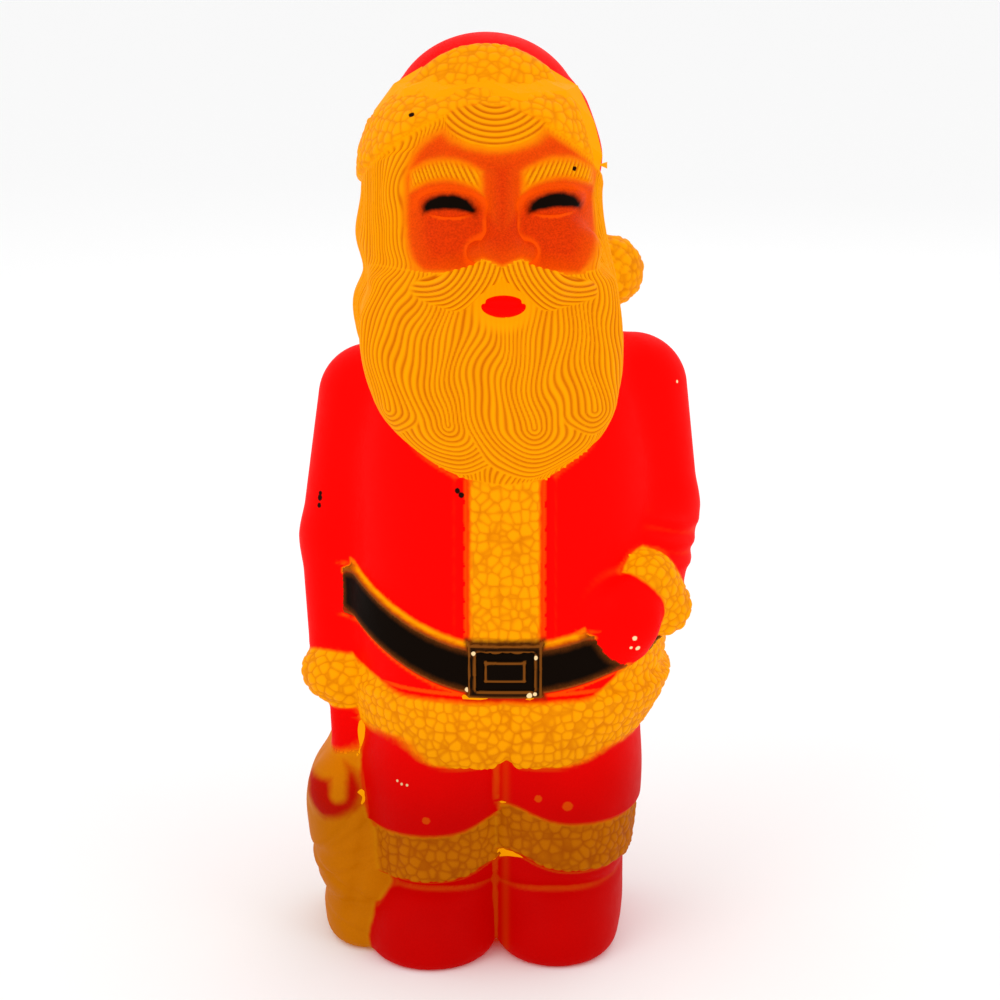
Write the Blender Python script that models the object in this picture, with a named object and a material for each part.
"""A lighted Santa figure: one hollow blow moulding with a lamp hole in its back.

The figure stands on z = 0 and faces -Y, with +X to the viewer's right. Its forms are fields: each gives a
negative number inside a form and a positive one outside, close to the distance from its skin. Soft unions
run the forms into each other, as the wall of a moulding runs. The zero level of the whole field is the
outer skin, and the same skin moved inwards by the wall is the cavity.
"""

import math

import bmesh
import bpy
import numpy as np
import openvdb

# Driving sizes in metres
HEIGHT = 0.330
WALL = 0.0022
LAMP_HOLE_DIAMETER = 0.030
LAMP_HOLE_Z = 0.130

# Triangles of the finished skin and of the cavity
SKIN_TRIANGLES = 8100
CAVITY_TRIANGLES = 1400

# The figure's own proportions below are shares of its height: one unit is a 330th of it
UNITS_HIGH = 330.0
UNIT = HEIGHT / UNITS_HIGH
GRID_STEP = 1.5
GRID_LOW = (-80.0, -72.0, -12.0)
GRID_HIGH = (80.0, 60.0, 340.0)

# Colour, roughness and metallic value of the painted plastic
PLASTIC = ((0.85, 0.06, 0.02, 1.0), 0.4, 0.0)

# Oval sections from the bottom up: height, left, right, front, back
COAT = (
    (60, -42, 44, -48, 38),
    (80, -46, 47, -54, 42),
    (88, -48.5, 51.5, -55.5, 44),
    (96, -51, 56, -56.5, 46),
    (112, -54, 60.5, -57, 48),
    (135, -54, 58, -53, 48),
    (160, -54, 57, -49, 47),
    (190, -52, 54, -45, 45),
    (212, -46, 48, -38, 40),
    (228, -34, 36, -30, 32),
    (240, -20, 22, -20, 22),
)
HEAD = (
    (204, -30, 30, -38, 28),
    (214, -40, 37, -43, 33),
    (222, -47.5, 40, -45, 36),
    (230, -50, 41, -45, 37),
    (238, -50.5, 40.5, -45, 37),
    (248, -47, 39, -45, 38),
    (261, -49.5, 37, -45, 39),
    (275, -47.5, 35.5, -45, 39),
    (290, -47, 36, -43, 39),
    (298, -44.5, 34, -40.5, 38),
    (306, -41, 31, -36, 36),
    (312, -36.5, 28, -31, 33),
)
BEARD = (
    (176, -3, 7, -44, -32),
    (180, -10, 14, -49, -30),
    (186, -21, 22, -54, -28),
    (193, -30, 31, -57, -28),
    (202, -38.5, 37, -59, -26),
    (212, -43.5, 40, -59.5, -22),
    (224, -46.5, 41, -58, -20),
    (236, -47, 40.5, -55, -18),
    (246, -44, 39, -51, -16),
    (256, -46, 37, -47, -14),
)
LEFT_LEG = (
    (-14, -46, -1, -36, 36),
    (0, -47.5, -1, -37, 38),
    (10, -48, 0, -38, 39),
    (22, -47, 3, -41, 38),
    (34, -46.5, 5, -43, 37),
    (52, -47, 5, -44, 37),
    (64, -48, 5, -46, 38),
    (84, -46, 5, -44, 38),
)
RIGHT_LEG = (
    (-14, -3, 43.5, -36, 36),
    (0, -3, 45, -37, 38),
    (10, -4, 46, -38, 39),
    (22, -7, 46, -41, 38),
    (34, -9, 46, -43, 37),
    (52, -9, 47.5, -44, 37),
    (64, -9, 48, -46, 38),
    (84, -9, 47, -44, 38),
)
BETWEEN_LEGS = (
    (-14, -17, 13, -18, 31),
    (16, -17, 13, -22, 32),
    (36, -17, 13, -30, 33),
    (84, -17, 13, -35, 34),
)
SACK = (
    (-14, -64, -30, -32, 32),
    (0, -65, -30, -35, 34),
    (10, -66, -30, -36, 35),
    (17, -66, -30, -35, 34),
    (25, -69, -30, -36, 34),
    (40, -71.5, -30, -36, 32),
    (52, -72, -32, -34, 28),
    (62, -69.5, -36, -31, 22),
    (72, -64, -40, -27, 14),
    (82, -60, -44, -22, 8),
)

# Heights of what is raised on those bodies
HEM = (83.0, 105.0)
BELT_MIDDLE = 114.0
BELT_SAG = 20.0
BELT_HALF = 8.5
PLACKET = (-10.4, 13.8)
BUCKLE = (-11.5, 15.0)
LEFT_CUFF = (35.0, 53.0)
RIGHT_CUFF = (39.0, 57.0)
LEFT_TOE = ((-25.0, -27.5, 6.5), (23.5, 28.0, 21.5))
RIGHT_TOE = ((20.5, -27.0, 7.0), (21.5, 25.5, 20.5))
FACE_MIDDLE = 0.8

# The brim: height of its lower edge at the sides and how far that edge arches up in front
BRIM_SIDE = 278.0
BRIM_ARCH = 32.0

# The brim's upper edge and its right edge: how high and how far right each lies at y = 0, and its slope in y
BRIM_TOP = (302.0, 2.6)
BRIM_RIGHT = (17.0, 1.2)

# How far the brim stands out, at its sides and on the crown
BRIM_RAISE = 4.5
CROWN_RAISE = 2.2

# Locks of the beard: their spacing, and the curls that end them (middle, height of the bend, reach)
LOCK_PITCH = 9.0
LOCKS_ROUND = 36
CURLS = ((-18.0, 203.0, 20.0), (9.0, 202.0, 20.0), (27.0, 207.0, 9.0), (-36.0, 207.0, 9.0))


def smooth_step(low, high, value):
    """0 below low, 1 above high, and a soft ramp between them."""
    share = np.clip((value - low) / (high - low), 0.0, 1.0)
    return share * share * (3.0 - 2.0 * share)


def within(low, high, value, edge=1.5):
    """1 between low and high and 0 outside, over soft edges."""
    return smooth_step(low - edge, low + edge, value) * (1.0 - smooth_step(high - edge, high + edge, value))


def profile(height, stations, entry):
    """One entry of a table of stations, as a smooth curve over the height."""
    levels = np.array([row[0] for row in stations], float)
    values = np.array([row[entry] for row in stations], float)
    slopes = np.gradient(values, levels)
    index = np.clip(np.searchsorted(levels, height) - 1, 0, len(levels) - 2)
    span = levels[index + 1] - levels[index]
    t = np.clip((height - levels[index]) / span, 0.0, 1.0)
    rise = values[index + 1] - values[index]
    start = slopes[index] * span
    end = slopes[index + 1] * span
    return values[index] + t * (start + t * (3 * rise - 2 * start - end + t * (start + end - 2 * rise)))


def blend(first, second, reach):
    """Union of two fields, with a fillet of about the reach between them."""
    share = np.clip(0.5 + 0.5 * (second - first) / reach, 0.0, 1.0)
    return second + (first - second) * share - reach * share * (1.0 - share)


def trim(first, second, reach):
    """What two fields share, with the edge between them rounded by about the reach."""
    return -blend(-first, -second, reach)


def ball(p, centre, radii, turn=0.0):
    """An ellipsoid, turned by degrees in the plane of the front view."""
    x, y, z = (axis - middle for axis, middle in zip(p, centre))
    cos, sin = math.cos(math.radians(turn)), math.sin(math.radians(turn))
    x, z = cos * x + sin * z, cos * z - sin * x
    a, b, c = radii
    near = np.sqrt((x / a) ** 2 + (y / b) ** 2 + (z / c) ** 2)
    steep = np.sqrt((x / a**2) ** 2 + (y / b**2) ** 2 + (z / c**2) ** 2)
    return near * (near - 1.0) / np.maximum(steep, 1e-4)


def limb(p, start, end, start_radius, end_radius):
    """A round bar between two points, with its radius running from one end's to the other's."""
    start, end = np.array(start, float), np.array(end, float)
    along = end - start
    offset = [axis - middle for axis, middle in zip(p, start)]
    t = sum(o * a for o, a in zip(offset, along)) / (along @ along)
    t = np.clip(t, 0.0, 1.0)
    gap = np.sqrt(sum((o - t * a) ** 2 for o, a in zip(offset, along)))
    return gap - (start_radius + t * (end_radius - start_radius))


def column(p, stations, power=2.3):
    """An upright body whose oval section has its own left, right, front and back reach at each height."""
    x, y, z = p
    left, right, front, back = (profile(z, stations, entry) for entry in (1, 2, 3, 4))
    middle_x, middle_y = (left + right) / 2, (front + back) / 2
    half_x, half_y = (right - left) / 2, (back - front) / 2
    reach = (np.abs((x - middle_x) / half_x) ** power + np.abs((y - middle_y) / half_y) ** power) ** (1 / power)
    return (reach - 1.0) * np.minimum(half_x, half_y)


def facing_front(y):
    """1 on the front of the figure, fading to 0 round its sides."""
    return 1.0 - smooth_step(-24.0, -8.0, y)


def belt_height(x, y):
    """The middle of the belt, which hangs in front and rides up to the sides and the back."""
    per_square = 0.0074
    front = np.minimum(BELT_MIDDLE + per_square * x * x, BELT_MIDDLE + BELT_SAG)
    return front + (BELT_MIDDLE + BELT_SAG - front) * smooth_step(-20.0, 10.0, y)


def coat_form(p):
    """The coat, with its fur hem and placket, the belt and the buckle."""
    x, y, z = p
    front = facing_front(y)
    seam = np.exp(-(((x - 2.0) / 3.0) ** 2)) * front
    relief = (3.8 - 2.0 * seam) * within(HEM[0] - 10.0, HEM[1], z, 2.0)
    placket = 2.6 * front * within(*PLACKET, x) * smooth_step(118.0, 122.0, z)
    rolls = np.exp(-(((x - PLACKET[0] + 3.2) / 1.8) ** 2)) + np.exp(-(((x - PLACKET[1] - 3.2) / 1.8) ** 2))
    placket = placket + 1.0 * front * rolls * within(122.0, 186.0, z, 4.0)
    belt = belt_height(x, y)
    strap = 2.6 * within(belt - BELT_HALF, belt + BELT_HALF, z, 1.6)
    relief = np.maximum(np.maximum(relief, placket), strap)
    tall = (BELT_MIDDLE - 8.5, BELT_MIDDLE + 11.0)
    buckle = 4.4 * front * within(*BUCKLE, x, 1.2) * within(*tall, z, 1.2)
    window = 1.7 * front * within(BUCKLE[0] + 3.0, BUCKLE[1] - 3.0, x, 0.8) * within(tall[0] + 3.0, tall[1] - 3.0, z, 0.8)
    plate = 1.7 * front * within(BUCKLE[0] + 6.0, BUCKLE[1] - 6.5, x, 0.8) * within(tall[0] + 5.5, tall[1] - 5.5, z, 0.8)
    relief = np.maximum(relief, buckle) - window + plate
    bottom = HEM[0] + 3.0 * seam
    return trim(trim(column(p, COAT) - relief, bottom - z, 4.0), z - 236.0, 4.0)


def leg_form(p, stations, cuff, toe):
    """One trouser leg over its fur cuff and boot. The toe gives the middle and the reach of the boot's front."""
    y, z = p[1], p[2]
    leg = blend(column(p, stations, 2.5), ball(p, *toe), 6.0)
    trousers = 4.5 * smooth_step(cuff[1] - 1.5, cuff[1] + 1.5, z)
    fur = 3.2 * within(cuff[0], cuff[1] + 5.0, z, 1.8)
    ankle = 1.2 * np.exp(-(((z - 27.0) / 2.5) ** 2)) * facing_front(y)
    return trim(leg - np.maximum(trousers, fur) + ankle, z - 88.0, 3.0)


def sack_form(p):
    """The sack at the figure's side, with soft creases where it bulges and slumps."""
    x, y, z = p
    creases = 0.0
    for height, slope, depth in ((17.0, 0.10, 1.4), (37.0, 0.25, 0.9)):
        creases = creases + depth * np.exp(-(((z - height - slope * (x + 55.0)) / 2.4) ** 2))
    upright = 1.0 * np.exp(-(((x + 50.0 - 0.18 * (z - 40.0)) / 2.4) ** 2)) * within(12.0, 66.0, z, 6.0)
    return np.maximum(column(p, SACK) + creases + upright * facing_front(y), z - 86.0)


def arm_forms(p):
    """The two sleeves, each with a fur cuff and a mitten."""
    left = blend(limb(p, (-46.5, 6, 199.5), (-54, 2, 148), 19.5, 19), limb(p, (-54, 2, 148), (-55, -8, 112), 19, 15), 3.0)
    right = blend(limb(p, (48, 6, 203), (54, 2, 160), 20, 18.5), limb(p, (54, 2, 160), (52, -24, 139), 18.5, 14), 3.0)
    x, y, z = p
    for height in (159.0, 152.5, 146.0):
        fold = np.exp(-(((z - height + 0.3 * (x - 62.0)) / 2.0) ** 2)) * within(50.0, 90.0, x, 6.0)
        right = right - 1.1 * fold * facing_front(y - 12.0)
    left = blend(left, ball(p, (-58.5, -12, 100.5), (13, 15, 11.5), -14), 1.5)
    left = blend(left, limb(p, (-54, -14, 92), (-53.5, -18, 76), 8.5, 8), 2.0)
    left = blend(left, ball(p, (-58.5, -21, 59), (12, 15, 12.5)), 3.0)
    right = blend(right, limb(p, (52.5, -35, 142), (58, -28, 130), 10, 10.5), 1.5)
    right = blend(right, ball(p, (42.5, -44, 127.5), (15, 10, 14.5), -25), 2.5)
    return left, right


def face_outline(x, z):
    """1 on the bare face between hat, hair and moustache, and 0 outside."""
    reach = (np.abs((x - FACE_MIDDLE) / 35.0) ** 3 + np.abs((z - 272.0) / 30.0) ** 3) ** (1 / 3)
    return 1.0 - smooth_step(0.95, 1.03, reach)


def locks(x, y, z):
    """Long wavy locks that run down all round the hair and the beard, with curls that turn under near its tip."""
    around = LOCKS_ROUND * LOCK_PITCH * np.arctan2(x - FACE_MIDDLE, -3.0 - y) / (2.0 * math.pi)
    run = around + 2.0 * np.sin((z - 0.4 * np.abs(around)) / 8.0)
    ridges = np.cos(run * 2.0 * math.pi / LOCK_PITCH)
    for middle, bend, reach in CURLS:
        away = np.hypot(run - middle, np.minimum(z - bend, 0.0))
        curl = (1.0 - smooth_step(reach - 1.5, reach + 1.5, away)) * (1.0 - smooth_step(bend - 2.0, bend + 2.0, z))
        ridges = ridges + curl * (np.cos(away * 2.0 * math.pi / LOCK_PITCH) - ridges)
    return ridges


def brim_span(x, y, z):
    """Distance inside the brim. It arches over the face and leaves the back and the right of the hat bare."""
    ahead = 3.0 - y
    facing = ahead / np.sqrt((x + 5.0) ** 2 + ahead**2 + 25.0)
    over_edge = z - BRIM_SIDE - BRIM_ARCH * facing * np.abs(facing)
    under_top = (BRIM_TOP[0] - z - BRIM_TOP[1] * y) / math.hypot(1.0, BRIM_TOP[1])
    left_of_tail = (BRIM_RIGHT[0] - x - BRIM_RIGHT[1] * y) / math.hypot(1.0, BRIM_RIGHT[1])
    return np.minimum(over_edge, np.minimum(under_top, left_of_tail))


def head_form(p):
    """The hat with its brim, tail and pompom, the hair, the face and the beard."""
    x, y, z = p
    front = facing_front(y)
    face = face_outline(x, z)
    skull = trim(trim(column(p, HEAD), z - 312.0, 6.0), 198.0 - z, 6.0)
    skull = blend(skull, ball(p, (-5, 3, 299.5), (34, 34, 31.2)), 4.0)
    brim = brim_span(x, y, z)
    hair_top = 276.0 - 0.5 * y
    hair = (1.5 + 0.8 * locks(x, y, z)) * within(205.0, hair_top, z)
    brow = 0.0
    for side in (-1, 1):
        away = side * (x - FACE_MIDDLE)
        arch = 288.0 - 5.5 * ((away - 19.0) / 14.0) ** 2
        brow = brow + 2.2 * within(6.5, 33.0, away) * within(-3.0, 3.0, z - arch, 1.2)
        lid = ((away - 18.0) / 10.5) ** 2 + ((z - 276.5) / 4.2) ** 2
        brow = brow + 1.4 * (1.0 - smooth_step(0.7, 1.2, lid))
    tuft = ((x + 1.5) / 17.5) ** 2 + ((z - 304.0) / 8.5) ** 2
    brow = brow + 2.6 * (1.0 - smooth_step(0.8, 1.1, tuft))
    relief = hair * (1.0 - face * front) + brow * front
    lift = BRIM_RAISE + (CROWN_RAISE - BRIM_RAISE) * smooth_step(312.0, 324.0, z)
    skull = skull - np.maximum(relief, lift * smooth_step(-2.0, 2.0, brim))

    for side in (-1, 1):
        skull = blend(skull, ball(p, (FACE_MIDDLE + 20 * side, -35.5, 259.5), (14, 11.5, 10.5)), 5.0)
        skull = blend(skull, ball(p, (FACE_MIDDLE + 7.5 * side, -48, 260.5), (4.2, 5, 3.8)), 3.0)
    skull = blend(skull, limb(p, (FACE_MIDDLE, -43, 284), (FACE_MIDDLE, -49.5, 266), 3.6, 5.5), 4.0)
    skull = blend(skull, ball(p, (FACE_MIDDLE, -52, 262.5), (7.2, 7.5, 6.3)), 2.0)

    beard = np.maximum(trim(column(p, BEARD), z - 252.0, 5.0), 174.0 - z)
    beard = beard - (0.6 + 1.1 * locks(x, y, z)) * front * within(172.0, 244.0, z, 4.0)
    head = blend(skull, beard, 5.0)
    for side in (-1, 1):
        inner, middle, outer = (FACE_MIDDLE + reach * side for reach in (3.5, 16.0, 29.0))
        lobe = blend(
            limb(p, (inner, -54, 255), (middle, -53.5, 248.5), 4.2, 6.4),
            limb(p, (middle, -53.5, 248.5), (outer, -45.5, 247), 6.4, 3.2),
            1.5,
        )
        head = blend(head, lobe, 1.8)
    head = blend(head, ball(p, (1.8, -56, 242.5), (5.5, 4.5, 4.2)), 2.0)
    head = blend(head, limb(p, (24, 22, 300), (28, 24, 256), 9, 9), 4.0)
    return blend(head, ball(p, (39.5, 22, 243), (13, 13, 13)), 1.5)


def figure(p):
    """The whole figure as one field, down to just under the floor."""
    body = blend(coat_form(p), np.maximum(column(p, BETWEEN_LEGS), p[2] - 90.0), 3.0)
    body = blend(body, leg_form(p, LEFT_LEG, LEFT_CUFF, LEFT_TOE), 1.5)
    body = blend(body, leg_form(p, RIGHT_LEG, RIGHT_CUFF, RIGHT_TOE), 1.5)
    body = blend(body, sack_form(p), 2.5)
    for arm in arm_forms(p):
        body = blend(body, arm, 7.0)
    body = blend(body, head_form(p), 2.5)
    sole_round = 5.0
    return trim(body, -0.5 - p[2], sole_round)


def surface_of(grid, level):
    """The surface where a grid reaches a level, as points in metres and four-sided faces."""
    points, quads = grid.convertToQuads(isovalue=level)
    return (points * GRID_STEP + np.array(GRID_LOW)) * UNIT, quads


def grid_of_figure():
    """The figure's field, sampled over its box."""
    axes = [np.arange(low, high, GRID_STEP) for low, high in zip(GRID_LOW, GRID_HIGH)]
    field = figure(np.meshgrid(*axes, indexing="ij", sparse=True))
    grid = openvdb.FloatGrid(background=float(field.max()))
    grid.copyFromArray(field.astype(np.float32))
    return grid


def grid_inside(grid):
    """True distances from the figure's skin, so that a wall keeps one thickness everywhere."""
    points, quads = grid.convertToQuads(isovalue=0.0)
    reach = WALL / UNIT / GRID_STEP + 2.0
    return openvdb.FloatGrid.createLevelSetFromPolygons(points, quads=quads, halfWidth=reach)


def add_mesh_object(name, points, faces):
    """A smooth-shaded object from points and faces, with its faces turned outwards."""
    mesh = bpy.data.meshes.new(name)
    mesh.from_pydata(points.tolist(), [], faces.tolist())
    shape = bmesh.new()
    shape.from_mesh(mesh)
    bmesh.ops.recalc_face_normals(shape, faces=shape.faces)
    shape.to_mesh(mesh)
    shape.free()
    mesh.shade_smooth()
    thing = bpy.data.objects.new(name, mesh)
    bpy.context.scene.collection.objects.link(thing)
    return thing


def thin_out(thing, triangles):
    """Smooths a dense mesh a little and leaves it about that many triangles, most of them where it bends."""
    smooth = thing.modifiers.new("Smooth", "SMOOTH")
    smooth.factor = 0.5
    smooth.iterations = 1
    fewer = thing.modifiers.new("Fewer", "DECIMATE")
    fewer.ratio = triangles / (2.0 * len(thing.data.polygons))
    graph = bpy.context.evaluated_depsgraph_get()
    mesh = bpy.data.meshes.new_from_object(thing.evaluated_get(graph))
    thing.modifiers.clear()
    thing.data = mesh


def cut_flat(thing, height):
    """Cuts a mesh off level and closes it with one flat face."""
    snap, sliver = 0.0003, 0.00002
    shape = bmesh.new()
    shape.from_mesh(thing.data)
    for vert in shape.verts:
        if abs(vert.co.z - height) < snap:
            vert.co.z = height
    bmesh.ops.dissolve_degenerate(shape, edges=shape.edges[:], dist=sliver)
    parts = shape.verts[:] + shape.edges[:] + shape.faces[:]
    bmesh.ops.bisect_plane(shape, geom=parts, plane_co=(0, 0, height), plane_no=(0, 0, 1), clear_inner=True)
    in_plane = [face for face in shape.faces if max(abs(vert.co.z - height) for vert in face.verts) < sliver]
    bmesh.ops.delete(shape, geom=in_plane, context="FACES")
    rim = [edge for edge in shape.edges if edge.is_boundary]
    bmesh.ops.edgeloop_fill(shape, edges=rim)
    bmesh.ops.recalc_face_normals(shape, faces=shape.faces)
    shape.to_mesh(thing.data)
    shape.free()


def add_boolean(thing, operation, other):
    """Keeps the other object as a cutter that isn't rendered."""
    step = thing.modifiers.new(other.name, "BOOLEAN")
    step.operation = operation
    step.object = other
    other.hide_render = True
    other.display_type = "WIRE"


def plastic():
    """The painted plastic of the shell."""
    material = bpy.data.materials.new("painted_plastic")
    material.use_nodes = True
    shader = material.node_tree.nodes["Principled BSDF"]
    colour, roughness, metallic = PLASTIC
    shader.inputs["Base Color"].default_value = colour
    shader.inputs["Roughness"].default_value = roughness
    shader.inputs["Metallic"].default_value = metallic
    return material


def main():
    for thing in list(bpy.data.objects):
        bpy.data.objects.remove(thing)
    grid = grid_of_figure()
    shell = add_mesh_object("santa_shell", *surface_of(grid, 0.0))
    thin_out(shell, SKIN_TRIANGLES)
    cut_flat(shell, 0.0)
    shell.data.materials.append(plastic())

    cavity = add_mesh_object("cavity", *surface_of(grid_inside(grid), -WALL / UNIT / GRID_STEP))
    thin_out(cavity, CAVITY_TRIANGLES)
    cut_flat(cavity, WALL)
    add_boolean(shell, "DIFFERENCE", cavity)

    past_the_back = GRID_HIGH[1] * UNIT
    bpy.ops.mesh.primitive_cylinder_add(
        vertices=32,
        radius=LAMP_HOLE_DIAMETER / 2,
        depth=past_the_back,
        location=(0, past_the_back / 2, LAMP_HOLE_Z),
        rotation=(math.pi / 2, 0, 0),
    )
    lamp_hole = bpy.context.object
    lamp_hole.name = "lamp_hole"
    add_boolean(shell, "DIFFERENCE", lamp_hole)


main()
